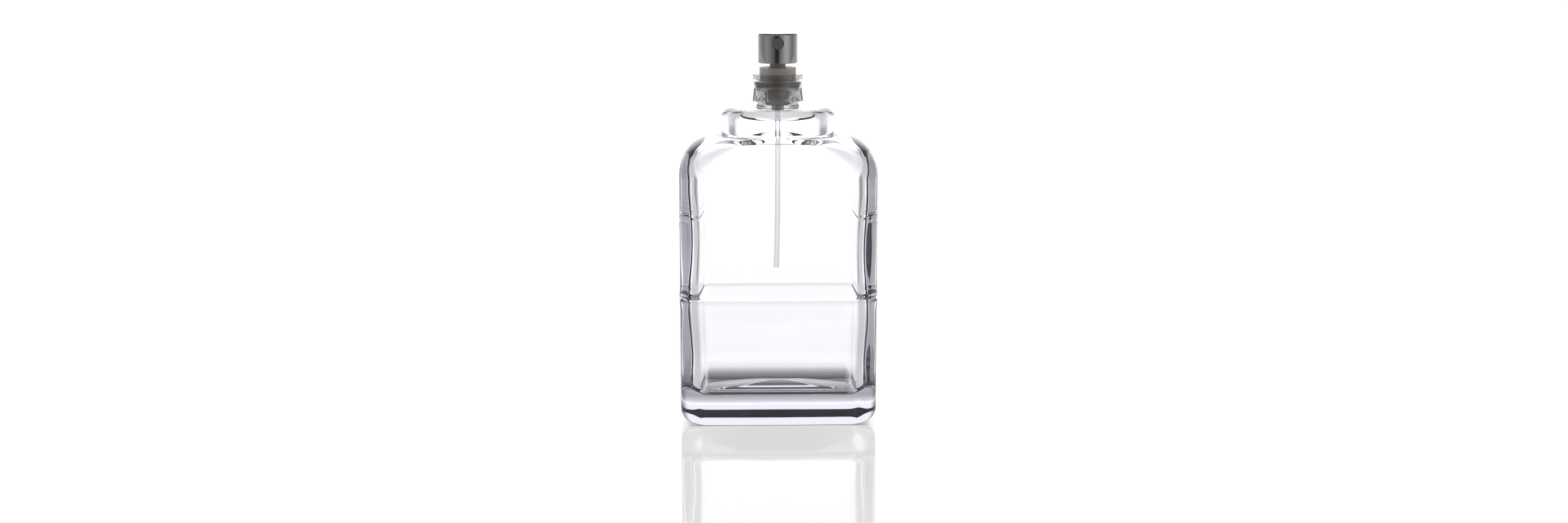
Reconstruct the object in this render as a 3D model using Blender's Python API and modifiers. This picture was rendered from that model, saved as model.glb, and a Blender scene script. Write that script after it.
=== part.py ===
"""Aftershave bottle of about 100 ml: thick clear glass, with a push-fit spray pump and its actuator.

Metres, +Z up. The origin is under the middle of the base, the wide faces look along Y, and the
spray nozzle faces -Y. All dimensions below are in millimetres and are scaled by MM when a mesh
is made.
"""
import math

import bmesh
import bpy
from mathutils import Matrix, Vector

MM = 0.001
MERGE = 1e-6  # metres, for the modifiers that merge points

# glass body, outside
BODY_W = 65.8
BODY_D = 36.6
CORNER_R = 6.5
SIDE_CROWN_R = 110.0
FACE_CROWN_R = 1100.0
HEEL_INSET_X, HEEL_INSET_Y, HEEL_H = 5.4, 3.6, 5.4
PUSH_UP = 0.8  # the base is hollowed by this much inside its bearing ring
BEARING_RING = 4.0
SHOULDER_X, SHOULDER_Z = 21.0, 82.0  # centre of the shoulder's quarter ellipse
SHOULDER_RISE = 12.9
LOWER_GROOVE_Z, UPPER_GROOVE_Z = 42.3, 68.0
GROOVE_DEPTH, GROOVE_HALF_H = 0.5, 0.8
UPPER_GROOVE_SHARE = 0.35  # the upper groove is this much of the lower one
FACE_GROOVE_DEPTH = 0.18  # the lower groove is only a shallow dent on the wide faces
TIER_FLARE, TIER_FLARE_H = 0.3, 2.2

# glass plinth under the neck, and the neck
PLINTH_Z, PLINTH_TOP_Z = 95.5, 103.8
PLINTH_R, PLINTH_EDGE_R = 19.0, 3.5
NECK_R, NECK_WAIST_R = 6.85, 6.3
BEAD_R, BEAD_Z, MOUTH_Z = 7.5, 107.3, 110.2
BORE_R = 4.85

# glass cavity
CAVITY_W, CAVITY_D, CAVITY_CORNER_R = 56.2, 27.6, 5.0
CAVITY_EDGE_Z, CAVITY_DOME_Z, CAVITY_FOOT_R = 9.6, 12.4, 4.0
CAVITY_SHOULDER_X, CAVITY_SHOULDER_Z, CAVITY_SHOULDER_RISE = 20.0, 85.5, 7.3
PLINTH_CAVITY_R, PLINTH_CEILING_Z, PLINTH_CEILING_R = 15.2, 102.0, 0.9
PLINTH_FOOT_H = 2.5  # height over which the plinth's cavity opens into the body's

# pump
GAP = 0.05  # between pieces that lie against each other
FLANGE_R = 7.6
GASKET_Z, FLANGE_Z, FLANGE_SPLIT_Z, FLANGE_TOP_Z = 110.25, 111.0, 111.55, 112.25
HOUSING_R, CYLINDER_R, CYLINDER_FLOOR_Z, HOUSING_Z = 4.1, 3.2, 104.7, 104.1
SOCKET_R, SOCKET_Z, TUBE_STOP_Z = 2.2, 99.7, 101.6
BALL_R, BALL_Z, SEAT_R, SEAT_Z, BALL_CHAMBER_R = 1.1, 103.26, 0.6, 102.25, 1.35
TUBE_R, TUBE_WALL, TUBE_END_Z, TUBE_BEND = 0.92, 0.32, 50.5, 0.5
STROKE, PISTON_SLIP = 4.0, 0.3
PISTON_TOP_Z, PISTON_H, PISTON_R = 110.4, 1.3, 3.12
STEM_R, STEM_BORE_R, STEM_TOP_Z = 1.35, 0.6, 123.7
TURRET_R, TURRET_Z, TURRET_FLOOR_Z = 6.0, 116.7, 113.0
CHIMNEY_R, CHIMNEY_BORE_R, CHIMNEY_Z = 2.65, 2.35, 118.3
SPRING_R, SPRING_WIRE_R, SPRING_COILS = 2.05, 0.2, 8
SPRING_TOP_Z = TURRET_Z + STROKE + 0.2  # the actuator's skirt ends here too, clear of the turret

# snap collar
COLLAR_R, COLLAR_FLARE_R, COLLAR_RIM_R = 8.3, 8.78, 7.25
COLLAR_BOTTOM_Z, COLLAR_FLARE_Z, COLLAR_TOP_Z, COLLAR_RECESS_Z = 105.9, 109.2, 114.6, 112.95
FINGERS, SLOT_W, SLOT_TOP_Z = 8, 0.7, 110.2
LUG_W, LUG_R, LUG_TOP_Z = 1.8, 6.6, 107.2

# actuator
SHELL_R, SHELL_WALL, SHELL_Z, SHELL_TOP_Z, SHELL_EDGE_R = 6.58, 0.38, 118.2, 127.9, 0.6
CORE_R, CORE_SKIRT_WALL, CORE_PLATE_Z, CORE_TOP_Z = 6.15, 0.65, 126.7, 127.35
CORE_COLUMN_R, CORE_COLUMN_Z, CORE_GRIP_R = 2.9, 123.1, 2.2
NOZZLE_Z, NOZZLE_BOSS_R, NOZZLE_POST_R = 124.7, 2.3, 1.25
INSERT_R, INSERT_FACE, INSERT_DISC, INSERT_DEPTH, ORIFICE_R = 1.8, 6.55, 0.6, 2.2, 0.25

# fineness of the facets
QUARTER_SIDE, QUARTER_CORNER, QUARTER_FACE = 2, 5, 2
ROUND_STEPS, SMALL_STEPS = 32, 24


def clear_scene():
    for item in list(bpy.data.objects):
        bpy.data.objects.remove(item, do_unlink=True)


def collection(name):
    made = bpy.data.collections.new(name)
    bpy.context.scene.collection.children.link(made)
    return made


def material(name, color, roughness, metallic=0.0, alpha=1.0):
    made = bpy.data.materials.new(name)
    made.use_nodes = True
    shader = made.node_tree.nodes["Principled BSDF"]
    shader.inputs["Base Color"].default_value = (*color, 1.0)
    shader.inputs["Roughness"].default_value = roughness
    shader.inputs["Metallic"].default_value = metallic
    shader.inputs["Alpha"].default_value = alpha
    made.diffuse_color = (*color, alpha)
    return made


def put(name, mesh, finish, where):
    """An object that holds the mesh, with its material, in a collection."""
    item = bpy.data.objects.new(name, mesh)
    if finish is not None:
        mesh.materials.append(finish)
    where.objects.link(item)
    return item


def turned(name, profile, finish, where, steps=ROUND_STEPS, closed=True):
    """A profile of (radius, height) points turned round Z. It runs down the outer side."""
    mesh = bpy.data.meshes.new(name)
    points = [(r * MM, 0.0, z * MM) for r, z in profile]
    edges = [(i, i + 1) for i in range(len(points) - 1)]
    if closed:
        edges.append((len(points) - 1, 0))
    mesh.from_pydata(points, edges, [])
    item = put(name, mesh, finish, where)
    screw = item.modifiers.new("turn", "SCREW")
    screw.axis = "Z"
    screw.steps = steps
    screw.render_steps = steps
    screw.use_merge_vertices = True
    screw.merge_threshold = MERGE
    screw.use_smooth_shade = True
    return item


def arc(centre_r, centre_z, radius, start, end, steps):
    """Points of a round corner in a profile, angles in degrees from +radius towards +Z."""
    angles = [math.radians(start + (end - start) * i / steps) for i in range(steps + 1)]
    return [(centre_r + radius * math.cos(a), centre_z + radius * math.sin(a)) for a in angles]


def cutter(item):
    item.hide_render = True
    item.display_type = "WIRE"
    return item


def cylinder_mesh(name, radius, start, end, steps=SMALL_STEPS):
    """A closed cylinder between two points, in millimetres."""
    a, b = Vector(start) * MM, Vector(end) * MM
    axis = b - a
    turn = Vector((0, 0, 1)).rotation_difference(axis.normalized()).to_matrix().to_4x4()
    mesh = bpy.data.meshes.new(name)
    shape = bmesh.new()
    bmesh.ops.create_cone(
        shape, cap_ends=True, segments=steps, radius1=radius * MM, radius2=radius * MM,
        depth=axis.length, matrix=Matrix.Translation((a + b) / 2) @ turn)
    shape.to_mesh(mesh)
    shape.free()
    return mesh


def boxes_mesh(name, size, radius, height, count, phase):
    """Boxes in a ring round Z: size is (radial, round, up), and radius is to their middles."""
    mesh = bpy.data.meshes.new(name)
    shape = bmesh.new()
    for i in range(count):
        turn = Matrix.Rotation(2 * math.pi * (i + phase) / count, 4, "Z")
        place = Matrix.Translation((radius * MM, 0, height * MM))
        scale = Matrix.Diagonal((size[0] * MM, size[1] * MM, size[2] * MM, 1))
        bmesh.ops.create_cube(shape, size=1.0, matrix=turn @ place @ scale)
    shape.to_mesh(mesh)
    shape.free()
    return mesh


def boolean(item, tool, operation):
    cut = item.modifiers.new(tool.name, "BOOLEAN")
    cut.operation = operation
    cut.solver = "EXACT"
    cut.object = tool


# ---- the glass -------------------------------------------------------------------------------

class Section:
    """A level cut of the glass: a crowned rectangle with round corners, up to a full circle."""

    def __init__(self, half_w, half_d, corner):
        self.half_w, self.half_d = half_w, half_d
        self.corner = min(corner, half_w, half_d)
        self.side_angle = self.face_angle = 0.0
        for _ in range(20):
            depth = (half_d - self.corner * math.cos(self.face_angle)
                     - FACE_CROWN_R * (1 - math.cos(self.face_angle)))
            self.side_angle = math.asin(max(0.0, depth / (SIDE_CROWN_R - self.corner)))
            width = (half_w - self.corner * math.cos(self.side_angle)
                     - SIDE_CROWN_R * (1 - math.cos(self.side_angle)))
            self.face_angle = math.asin(max(0.0, width / (FACE_CROWN_R - self.corner)))

    def point(self, angle):
        """The point of the first quarter whose outward normal stands at this angle from X."""
        if angle <= self.side_angle:
            return (self.half_w - SIDE_CROWN_R * (1 - math.cos(angle)),
                    SIDE_CROWN_R * math.sin(angle))
        if angle >= math.pi / 2 - self.face_angle:
            return (FACE_CROWN_R * math.cos(angle),
                    self.half_d - FACE_CROWN_R * (1 - math.sin(angle)))
        x, y = (self.half_w - SIDE_CROWN_R * (1 - math.cos(self.side_angle)),
                SIDE_CROWN_R * math.sin(self.side_angle))
        return (x + self.corner * (math.cos(angle) - math.cos(self.side_angle)),
                y + self.corner * (math.sin(angle) - math.sin(self.side_angle)))

    def angles(self):
        """Normal angles of the first quarter, denser in the corner, even on a full circle."""
        count = QUARTER_SIDE + QUARTER_CORNER + QUARTER_FACE
        top = math.pi / 2
        stops = [(0.0, QUARTER_SIDE), (self.side_angle, QUARTER_CORNER),
                 (top - self.face_angle, QUARTER_FACE), (top, 0)]
        listed = []
        for (start, steps), (end, _) in zip(stops, stops[1:]):
            listed += [start + (end - start) * i / steps for i in range(steps)]
        roundness = self.corner / self.half_d
        blend = max(0.0, (roundness - 0.5) * 2)
        return [a + (top * i / count - a) * blend for i, a in enumerate(listed)]

    def loop(self, z, offset=lambda angle: 0.0):
        """The whole closed loop at height z, moved out along its normals by offset(angle)."""
        quarter = self.angles()
        full = ([(a, 1, 1) for a in quarter] + [(math.pi / 2, 1, 1)]
                + [(a, -1, 1) for a in reversed(quarter[1:])] + [(0.0, -1, 1)]
                + [(a, -1, -1) for a in quarter[1:]] + [(math.pi / 2, 1, -1)]
                + [(a, 1, -1) for a in reversed(quarter[1:])])
        points = []
        for angle, sx, sy in full:
            x, y = self.point(angle)
            out = offset(angle)
            points.append(((x + out * math.cos(angle)) * sx * MM,
                           (y + out * math.sin(angle)) * sy * MM, z * MM))
        return points


def circle(radius):
    return Section(radius, radius, radius)


def groove_out(distance, share):
    """How far the wall stands out near a groove: tiers flare towards it, then it cuts in.

    Share is 1 on the short ends and 0 on the wide faces, where the groove is shallow.
    """
    flare = share * TIER_FLARE * math.exp(-(distance / TIER_FLARE_H) ** 2)
    depth = FACE_GROOVE_DEPTH + (GROOVE_DEPTH - FACE_GROOVE_DEPTH) * share
    return flare - depth * max(0.0, 1 - abs(distance) / GROOVE_HALF_H)


def ends_only(angle):
    """1 round the short ends and their corners, fading to 0 on the wide faces."""
    share = min(1.0, max(0.0, (math.degrees(angle) - 25) / 60))
    return 1 - share * share * (3 - 2 * share)


def outer_rings():
    """Loops up the outside of the glass, from the base's hollow to the mouth."""
    half_w, half_d = BODY_W / 2, BODY_D / 2
    inner_x, inner_y = (half_w - HEEL_INSET_X - BEARING_RING,
                        half_d - HEEL_INSET_Y - BEARING_RING)
    rings = [Section(inner_x * 0.5, inner_y * 0.5, 3).loop(PUSH_UP),
             Section(inner_x * 0.93, inner_y * 0.93, 4).loop(PUSH_UP * 0.9),
             Section(inner_x, inner_y, 4).loop(0.0)]
    heel_steps = 5
    for i in range(heel_steps + 1):
        lift = 1 - math.cos(math.pi / 2 * i / heel_steps)
        inset = 1 - math.sin(math.pi / 2 * i / heel_steps)
        shape = Section(half_w - HEEL_INSET_X * inset, half_d - HEEL_INSET_Y * inset,
                        CORNER_R - 0.5 * HEEL_INSET_Y * inset)
        rings.append(shape.loop(HEEL_H * lift))
    body = Section(half_w, half_d, CORNER_R)
    steps = (-5.0, -2.5, -1.5, -GROOVE_HALF_H, 0.0, GROOVE_HALF_H, 1.5, 2.5, 5.0)
    rings.append(body.loop(22.0))
    for dz in steps:
        rings.append(body.loop(LOWER_GROOVE_Z + dz, lambda a, d=dz: groove_out(d, ends_only(a))))
    for dz in steps:
        rings.append(body.loop(UPPER_GROOVE_Z + dz, lambda a, d=dz:
                               groove_out(d, 1.0) * ends_only(a) * UPPER_GROOVE_SHARE))
    shoulder_steps = 9
    for i in range(shoulder_steps + 1):
        turn = math.pi / 2 * i / shoulder_steps
        x = SHOULDER_X + (half_w - SHOULDER_X) * math.cos(turn)
        corner = CORNER_R + (half_d - CORNER_R) * math.sin(turn)
        rings.append(Section(x, half_d, corner).loop(SHOULDER_Z + SHOULDER_RISE * math.sin(turn)))
    plinth = [(PLINTH_R - 0.4, PLINTH_Z), (PLINTH_R - 0.25, PLINTH_Z + 0.4)]
    plinth += arc(PLINTH_R - PLINTH_EDGE_R, PLINTH_TOP_Z - PLINTH_EDGE_R, PLINTH_EDGE_R, 0, 90, 5)
    neck = [(NECK_R + 0.8, PLINTH_TOP_Z), (NECK_R + 0.1, PLINTH_TOP_Z + 0.6),
            (NECK_R, PLINTH_TOP_Z + 1.6), (NECK_WAIST_R, BEAD_Z - 0.6),
            (NECK_WAIST_R + 0.1, BEAD_Z - 0.1)]
    bead = [(BEAD_R - 0.4, BEAD_Z), (BEAD_R, BEAD_Z + 0.4)]
    bead += arc(BEAD_R - 1.0, MOUTH_Z - 1.0, 1.0, 0, 90, 4)
    for radius, z in plinth + neck + bead:
        rings.append(circle(radius).loop(z))
    return rings


def inner_rings():
    """Loops down the inside of the glass, from the mouth to the cavity's floor."""
    rings = []
    bore = [(BORE_R + 0.5, MOUTH_Z), (BORE_R, MOUTH_Z - 0.6), (BORE_R, PLINTH_CEILING_Z + 1.0)]
    bore += arc(BORE_R + 1.0, PLINTH_CEILING_Z + 1.0, 1.0, 180, 270, 3)[1:]
    bore += arc(PLINTH_CAVITY_R - PLINTH_CEILING_R, PLINTH_CEILING_Z - PLINTH_CEILING_R,
                PLINTH_CEILING_R, 90, 0, 3)
    for radius, z in bore:
        rings.append(circle(radius).loop(z))
    foot_steps = 4
    for i in range(foot_steps):
        turn = math.pi / 2 * i / foot_steps
        x = PLINTH_CAVITY_R + (CAVITY_SHOULDER_X - PLINTH_CAVITY_R) * (1 - math.cos(turn))
        y = PLINTH_CAVITY_R + (CAVITY_D / 2 - PLINTH_CAVITY_R) * (1 - math.cos(turn))
        z = CAVITY_SHOULDER_Z + CAVITY_SHOULDER_RISE + PLINTH_FOOT_H * (1 - math.sin(turn))
        rings.append(Section(x, y, y).loop(z))
    half_w, half_d = CAVITY_W / 2, CAVITY_D / 2
    shoulder_steps = 7
    for i in range(shoulder_steps + 1):
        turn = math.pi / 2 * (1 - i / shoulder_steps)
        x = CAVITY_SHOULDER_X + (half_w - CAVITY_SHOULDER_X) * math.cos(turn)
        corner = CAVITY_CORNER_R + (half_d - CAVITY_CORNER_R) * math.sin(turn) ** 3
        z = CAVITY_SHOULDER_Z + CAVITY_SHOULDER_RISE * math.sin(turn)
        rings.append(Section(x, half_d, corner).loop(z))
    foot_top = CAVITY_EDGE_Z + CAVITY_FOOT_R
    rings.append(Section(half_w, half_d, CAVITY_CORNER_R).loop(foot_top))
    floor_corner_steps = 3
    for i in range(1, floor_corner_steps + 1):
        turn = math.pi / 2 * i / floor_corner_steps
        inset = CAVITY_FOOT_R * (1 - math.cos(turn))
        rings.append(Section(half_w - inset, half_d - inset, CAVITY_CORNER_R - 0.5 * inset)
                     .loop(foot_top - CAVITY_FOOT_R * math.sin(turn)))
    rise = CAVITY_DOME_Z - CAVITY_EDGE_Z
    rings.append(Section(half_w * 0.55, half_d * 0.45, 3).loop(CAVITY_EDGE_Z + 0.75 * rise))
    return rings


def glass_bottle(finish, where):
    """Loft through all the loops, closed at the base's middle and at the cavity floor's."""
    rings = outer_rings() + inner_rings()
    shape = bmesh.new()
    rows = [[shape.verts.new(p) for p in ring] for ring in rings]
    count = len(rows[0])
    for low, high in zip(rows, rows[1:]):
        for i in range(count):
            j = (i + 1) % count
            shape.faces.new((low[i], low[j], high[j], high[i]))
    for ring, z in ((rows[0], PUSH_UP), (rows[-1], CAVITY_DOME_Z)):
        middle = shape.verts.new((0, 0, z * MM))
        for i in range(count):
            shape.faces.new((ring[(i + 1) % count], ring[i], middle))
    bmesh.ops.recalc_face_normals(shape, faces=shape.faces)
    mesh = bpy.data.meshes.new("glass_bottle")
    shape.to_mesh(mesh)
    shape.free()
    mesh.shade_smooth()
    mesh.set_sharp_from_angle(angle=math.radians(30))
    return put("glass_bottle", mesh, finish, where)


# ---- the pump, from the neck up --------------------------------------------------------------

def neck_gasket(finish, where):
    top = FLANGE_Z - GAP
    return turned("neck_gasket", [(4.4, top), (7.2, top), (7.2, GASKET_Z), (4.4, GASKET_Z)],
                  finish, where)


def pump_housing(finish, where):
    """Cup for the piston, with the inlet ball's seat and the dip tube's socket below it."""
    ledge = CYLINDER_R + 0.7
    lip = BALL_R - 0.15
    outside = [(ledge, FLANGE_SPLIT_Z), (FLANGE_R, FLANGE_SPLIT_Z), (FLANGE_R, FLANGE_Z),
               (HOUSING_R, FLANGE_Z), (HOUSING_R, HOUSING_Z + 0.4), (HOUSING_R - 0.4, HOUSING_Z),
               (SOCKET_R, HOUSING_Z), (SOCKET_R, SOCKET_Z + 0.3), (SOCKET_R - 0.3, SOCKET_Z)]
    inside = [(TUBE_R + GAP, SOCKET_Z), (TUBE_R + GAP, TUBE_STOP_Z), (SEAT_R, TUBE_STOP_Z),
              (SEAT_R, SEAT_Z), (BALL_CHAMBER_R, SEAT_Z + BALL_CHAMBER_R - SEAT_R),
              (BALL_CHAMBER_R, CYLINDER_FLOOR_Z - 0.5), (lip, CYLINDER_FLOOR_Z - 0.4),
              (lip + 0.25, CYLINDER_FLOOR_Z), (CYLINDER_R, CYLINDER_FLOOR_Z),
              (CYLINDER_R, FLANGE_Z), (ledge, FLANGE_Z)]
    return turned("pump_housing", outside + inside, finish, where)


def inlet_ball(finish, where):
    mesh = bpy.data.meshes.new("inlet_ball")
    shape = bmesh.new()
    bmesh.ops.create_uvsphere(shape, u_segments=16, v_segments=10, radius=BALL_R * MM)
    shape.to_mesh(mesh)
    shape.free()
    mesh.shade_smooth()
    item = put("inlet_ball", mesh, finish, where)
    item.location = (0, 0, BALL_Z * MM)
    return item


def dip_tube(finish, where):
    """An open tube on a route that leans a little towards -X at its lower end."""
    top = TUBE_STOP_Z - 2 * GAP
    steps = 12
    curve = bpy.data.curves.new("dip_tube", "CURVE")
    curve.dimensions = "3D"
    curve.bevel_depth = TUBE_R * MM
    curve.bevel_resolution = 4
    curve.use_fill_caps = False
    line = curve.splines.new("POLY")
    line.points.add(steps)
    for i, point in enumerate(line.points):
        share = i / steps
        lean = TUBE_BEND * share ** 3
        point.co = (-lean * MM, 0, (top + (TUBE_END_Z - top) * share) * MM, 1)
    item = bpy.data.objects.new("dip_tube", curve)
    curve.materials.append(finish)
    where.objects.link(item)
    wall = item.modifiers.new("wall", "SOLIDIFY")
    wall.thickness = TUBE_WALL * MM
    wall.offset = -1
    return item


def piston(finish, where):
    low = PISTON_TOP_Z - PISTON_H
    bore = STEM_R + 0.07
    return turned("piston", [(bore, PISTON_TOP_Z - 0.3), (bore + 0.6, PISTON_TOP_Z - 0.3),
                             (PISTON_R - 0.25, PISTON_TOP_Z), (PISTON_R, PISTON_TOP_Z - 0.1),
                             (PISTON_R - 0.1, PISTON_TOP_Z - 0.65), (PISTON_R, low + 0.1),
                             (PISTON_R - 0.25, low), (bore + 0.6, low + 0.3), (bore, low)],
                  finish, where)


def pump_stem(finish, where, tools):
    """Hollow stem that carries the piston between a foot and a shoulder, with cross ports."""
    shoulder = PISTON_TOP_Z + PISTON_SLIP + 0.02
    foot_top = PISTON_TOP_Z - PISTON_H - GAP
    floor = foot_top + 0.85
    stem = turned("pump_stem", [
        (0.0, floor), (STEM_BORE_R, floor), (STEM_BORE_R, STEM_TOP_Z), (STEM_R, STEM_TOP_Z),
        (STEM_R, FLANGE_Z), (2.3, FLANGE_Z), (2.3, shoulder), (STEM_R, shoulder),
        (STEM_R, foot_top), (1.9, foot_top), (1.9, foot_top - 0.25), (0.0, foot_top - 0.25)],
        finish, where, SMALL_STEPS, closed=False)
    port = cylinder_mesh("stem_port_cut", 0.3, (-3, 0, floor + 0.3), (3, 0, floor + 0.3), 12)
    boolean(stem, cutter(put("stem_port_cut", port, None, tools)), "DIFFERENCE")
    return stem


def inner_gasket(finish, where):
    low, top = FLANGE_Z + GAP, FLANGE_SPLIT_Z - GAP / 2
    return turned("inner_gasket", [(STEM_R + 0.07, top), (3.82, top), (3.82, low),
                                   (STEM_R + 0.07, low)], finish, where, SMALL_STEPS)


def pump_turret(finish, where):
    """Cap of the pump: a flange, a hollow drum, and a chimney that guides stem and spring."""
    low = FLANGE_SPLIT_Z + GAP
    return turned("pump_turret", [
        (CHIMNEY_BORE_R, CHIMNEY_Z), (CHIMNEY_R, CHIMNEY_Z), (CHIMNEY_R, TURRET_Z + 0.3),
        (CHIMNEY_R + 0.25, TURRET_Z), (TURRET_R - 0.3, TURRET_Z), (TURRET_R, TURRET_Z - 0.3),
        (TURRET_R, FLANGE_TOP_Z), (FLANGE_R, FLANGE_TOP_Z), (FLANGE_R, low),
        (TURRET_R - 0.8, low), (TURRET_R - 0.8, TURRET_Z - 0.8), (CHIMNEY_R + 0.8, TURRET_Z - 0.8),
        (CHIMNEY_R + 0.8, low), (STEM_R + 0.15, low), (STEM_R + 0.15, TURRET_FLOOR_Z),
        (CHIMNEY_BORE_R, TURRET_FLOOR_Z)], finish, where)


def return_spring(finish, where):
    """Coil round the stem, from the turret's floor to the actuator's grip on the stem."""
    low = TURRET_FLOOR_Z + GAP + SPRING_WIRE_R
    high = SPRING_TOP_Z - GAP - SPRING_WIRE_R
    per_turn = 12
    count = SPRING_COILS * per_turn
    curve = bpy.data.curves.new("return_spring", "CURVE")
    curve.dimensions = "3D"
    curve.bevel_depth = SPRING_WIRE_R * MM
    curve.bevel_resolution = 2
    curve.use_fill_caps = True
    line = curve.splines.new("POLY")
    line.points.add(count)
    for i, point in enumerate(line.points):
        turn = 2 * math.pi * i / per_turn
        share = i / count
        point.co = (SPRING_R * math.cos(turn) * MM, SPRING_R * math.sin(turn) * MM,
                    (low + (high - low) * share) * MM, 1)
    item = bpy.data.objects.new("return_spring", curve)
    curve.materials.append(finish)
    where.objects.link(item)
    return item


def snap_collar(finish, where, tools):
    """Clear collar that presses the flange on the neck, with fingers that catch the bead."""
    inner = FLANGE_R + 0.12
    web = FLANGE_TOP_Z + GAP
    collar = turned("snap_collar", [
        (COLLAR_RIM_R, COLLAR_TOP_Z), (COLLAR_R - 0.15, COLLAR_TOP_Z),
        (COLLAR_R, COLLAR_TOP_Z - 0.15), (COLLAR_R, COLLAR_FLARE_Z),
        (COLLAR_FLARE_R, COLLAR_BOTTOM_Z), (COLLAR_FLARE_R - 0.85, COLLAR_BOTTOM_Z),
        (inner, COLLAR_FLARE_Z - 1.2), (inner, web), (TURRET_R + 0.12, web),
        (TURRET_R + 0.12, COLLAR_RECESS_Z), (COLLAR_RIM_R, COLLAR_RECESS_Z)], finish, where)
    lug_h = LUG_TOP_Z - COLLAR_BOTTOM_Z - 0.2
    reach = inner + 0.35 - LUG_R
    lugs = boxes_mesh("collar_lugs", (reach, LUG_W, lug_h), LUG_R + reach / 2,
                      LUG_TOP_Z - lug_h / 2, FINGERS, 0.0)
    boolean(collar, cutter(put("collar_lugs", lugs, None, tools)), "UNION")
    slot_h = SLOT_TOP_Z - COLLAR_BOTTOM_Z + 1.0
    slots = boxes_mesh("collar_slot_cuts", (3.0, SLOT_W, slot_h), COLLAR_R,
                       SLOT_TOP_Z - slot_h / 2, FINGERS, 0.5)
    boolean(collar, cutter(put("collar_slot_cuts", slots, None, tools)), "DIFFERENCE")
    return collar


# ---- the actuator ----------------------------------------------------------------------------

def actuator_core(finish, where, tools):
    """Moulded inside of the actuator: stem grip, spray channel and the nozzle's seat."""
    skirt = CORE_R - CORE_SKIRT_WALL
    grip = STEM_R + 0.05
    core = turned("actuator_core", [
        (0.0, STEM_TOP_Z + GAP), (grip, STEM_TOP_Z + GAP), (grip, SPRING_TOP_Z),
        (CORE_GRIP_R, SPRING_TOP_Z), (CORE_GRIP_R, CORE_COLUMN_Z), (CORE_COLUMN_R, CORE_COLUMN_Z),
        (CORE_COLUMN_R, CORE_PLATE_Z), (skirt, CORE_PLATE_Z), (skirt, SPRING_TOP_Z),
        (CORE_R, SPRING_TOP_Z), (CORE_R, CORE_TOP_Z - 0.4), (CORE_R - 0.4, CORE_TOP_Z),
        (0.0, CORE_TOP_Z)][::-1], finish, where, closed=False)
    feed_z = NOZZLE_Z + (NOZZLE_POST_R + INSERT_R) / 2
    recess_end = INSERT_FACE - INSERT_DEPTH - 0.15
    boss = cylinder_mesh("nozzle_boss", NOZZLE_BOSS_R, (0, -CORE_R + 0.35, NOZZLE_Z),
                         (0, -CORE_COLUMN_R + 0.4, NOZZLE_Z))
    recess = turned_recess("nozzle_recess_cut", recess_end, tools)
    riser = cylinder_mesh("riser_cut", 0.4, (0, 0, STEM_TOP_Z - 0.5), (0, 0, feed_z), 12)
    feed = cylinder_mesh("feed_cut", 0.27, (0, 0.3, feed_z), (0, -recess_end - 0.3, feed_z), 12)
    boolean(core, cutter(put("nozzle_boss", boss, None, tools)), "UNION")
    boolean(core, recess, "DIFFERENCE")
    boolean(core, cutter(put("riser_cut", riser, None, tools)), "DIFFERENCE")
    boolean(core, cutter(put("feed_cut", feed, None, tools)), "DIFFERENCE")
    return core


def turned_recess(name, depth_y, tools):
    """Ring-shaped cutter round the nozzle's axis that leaves the swirl post standing."""
    outer = INSERT_R + GAP
    post_end = INSERT_FACE - INSERT_DISC - 0.1
    front = CORE_R + 1.0
    item = turned(name, [(0.0, front), (outer, front), (outer, depth_y),
                         (NOZZLE_POST_R, depth_y), (NOZZLE_POST_R, post_end), (0.0, post_end)],
                  None, tools, SMALL_STEPS, closed=False)
    item.rotation_euler = (math.pi / 2, 0, 0)
    item.location = (0, 0, NOZZLE_Z * MM)
    return cutter(item)


def actuator_shell(finish, where, tools):
    """Bright metal cover of the actuator, open below, with a round hole for the nozzle."""
    inner = SHELL_R - SHELL_WALL
    top_inner = SHELL_TOP_Z - 0.45
    outside = arc(SHELL_R - SHELL_EDGE_R, SHELL_TOP_Z - SHELL_EDGE_R, SHELL_EDGE_R, 90, 0, 4)
    shell = turned("actuator_shell", [(0.0, SHELL_TOP_Z)] + outside + [
        (SHELL_R, SHELL_Z + 0.15), (SHELL_R - 0.15, SHELL_Z), (inner, SHELL_Z),
        (inner, top_inner - 0.3), (inner - 0.3, top_inner), (0.0, top_inner)],
        finish, where, 40, closed=False)
    hole = cylinder_mesh("nozzle_hole_cut", INSERT_R + 0.12, (0, -SHELL_R - 1, NOZZLE_Z),
                         (0, -SHELL_R + 1.4, NOZZLE_Z))
    boolean(shell, cutter(put("nozzle_hole_cut", hole, None, tools)), "DIFFERENCE")
    return shell


def nozzle_insert(finish, where):
    """Small cup with the spray orifice, pressed over the swirl post."""
    back = INSERT_FACE - INSERT_DEPTH
    disc = INSERT_FACE - INSERT_DISC
    cup = NOZZLE_POST_R + 0.08
    item = turned("nozzle_insert", [
        (ORIFICE_R, INSERT_FACE - 0.1), (0.45, INSERT_FACE), (INSERT_R - 0.15, INSERT_FACE),
        (INSERT_R, INSERT_FACE - 0.15), (INSERT_R, back), (cup, back), (cup, disc),
        (ORIFICE_R, disc)], finish, where, SMALL_STEPS)
    item.rotation_euler = (math.pi / 2, 0, 0)
    item.location = (0, 0, NOZZLE_Z * MM)
    return item


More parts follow.
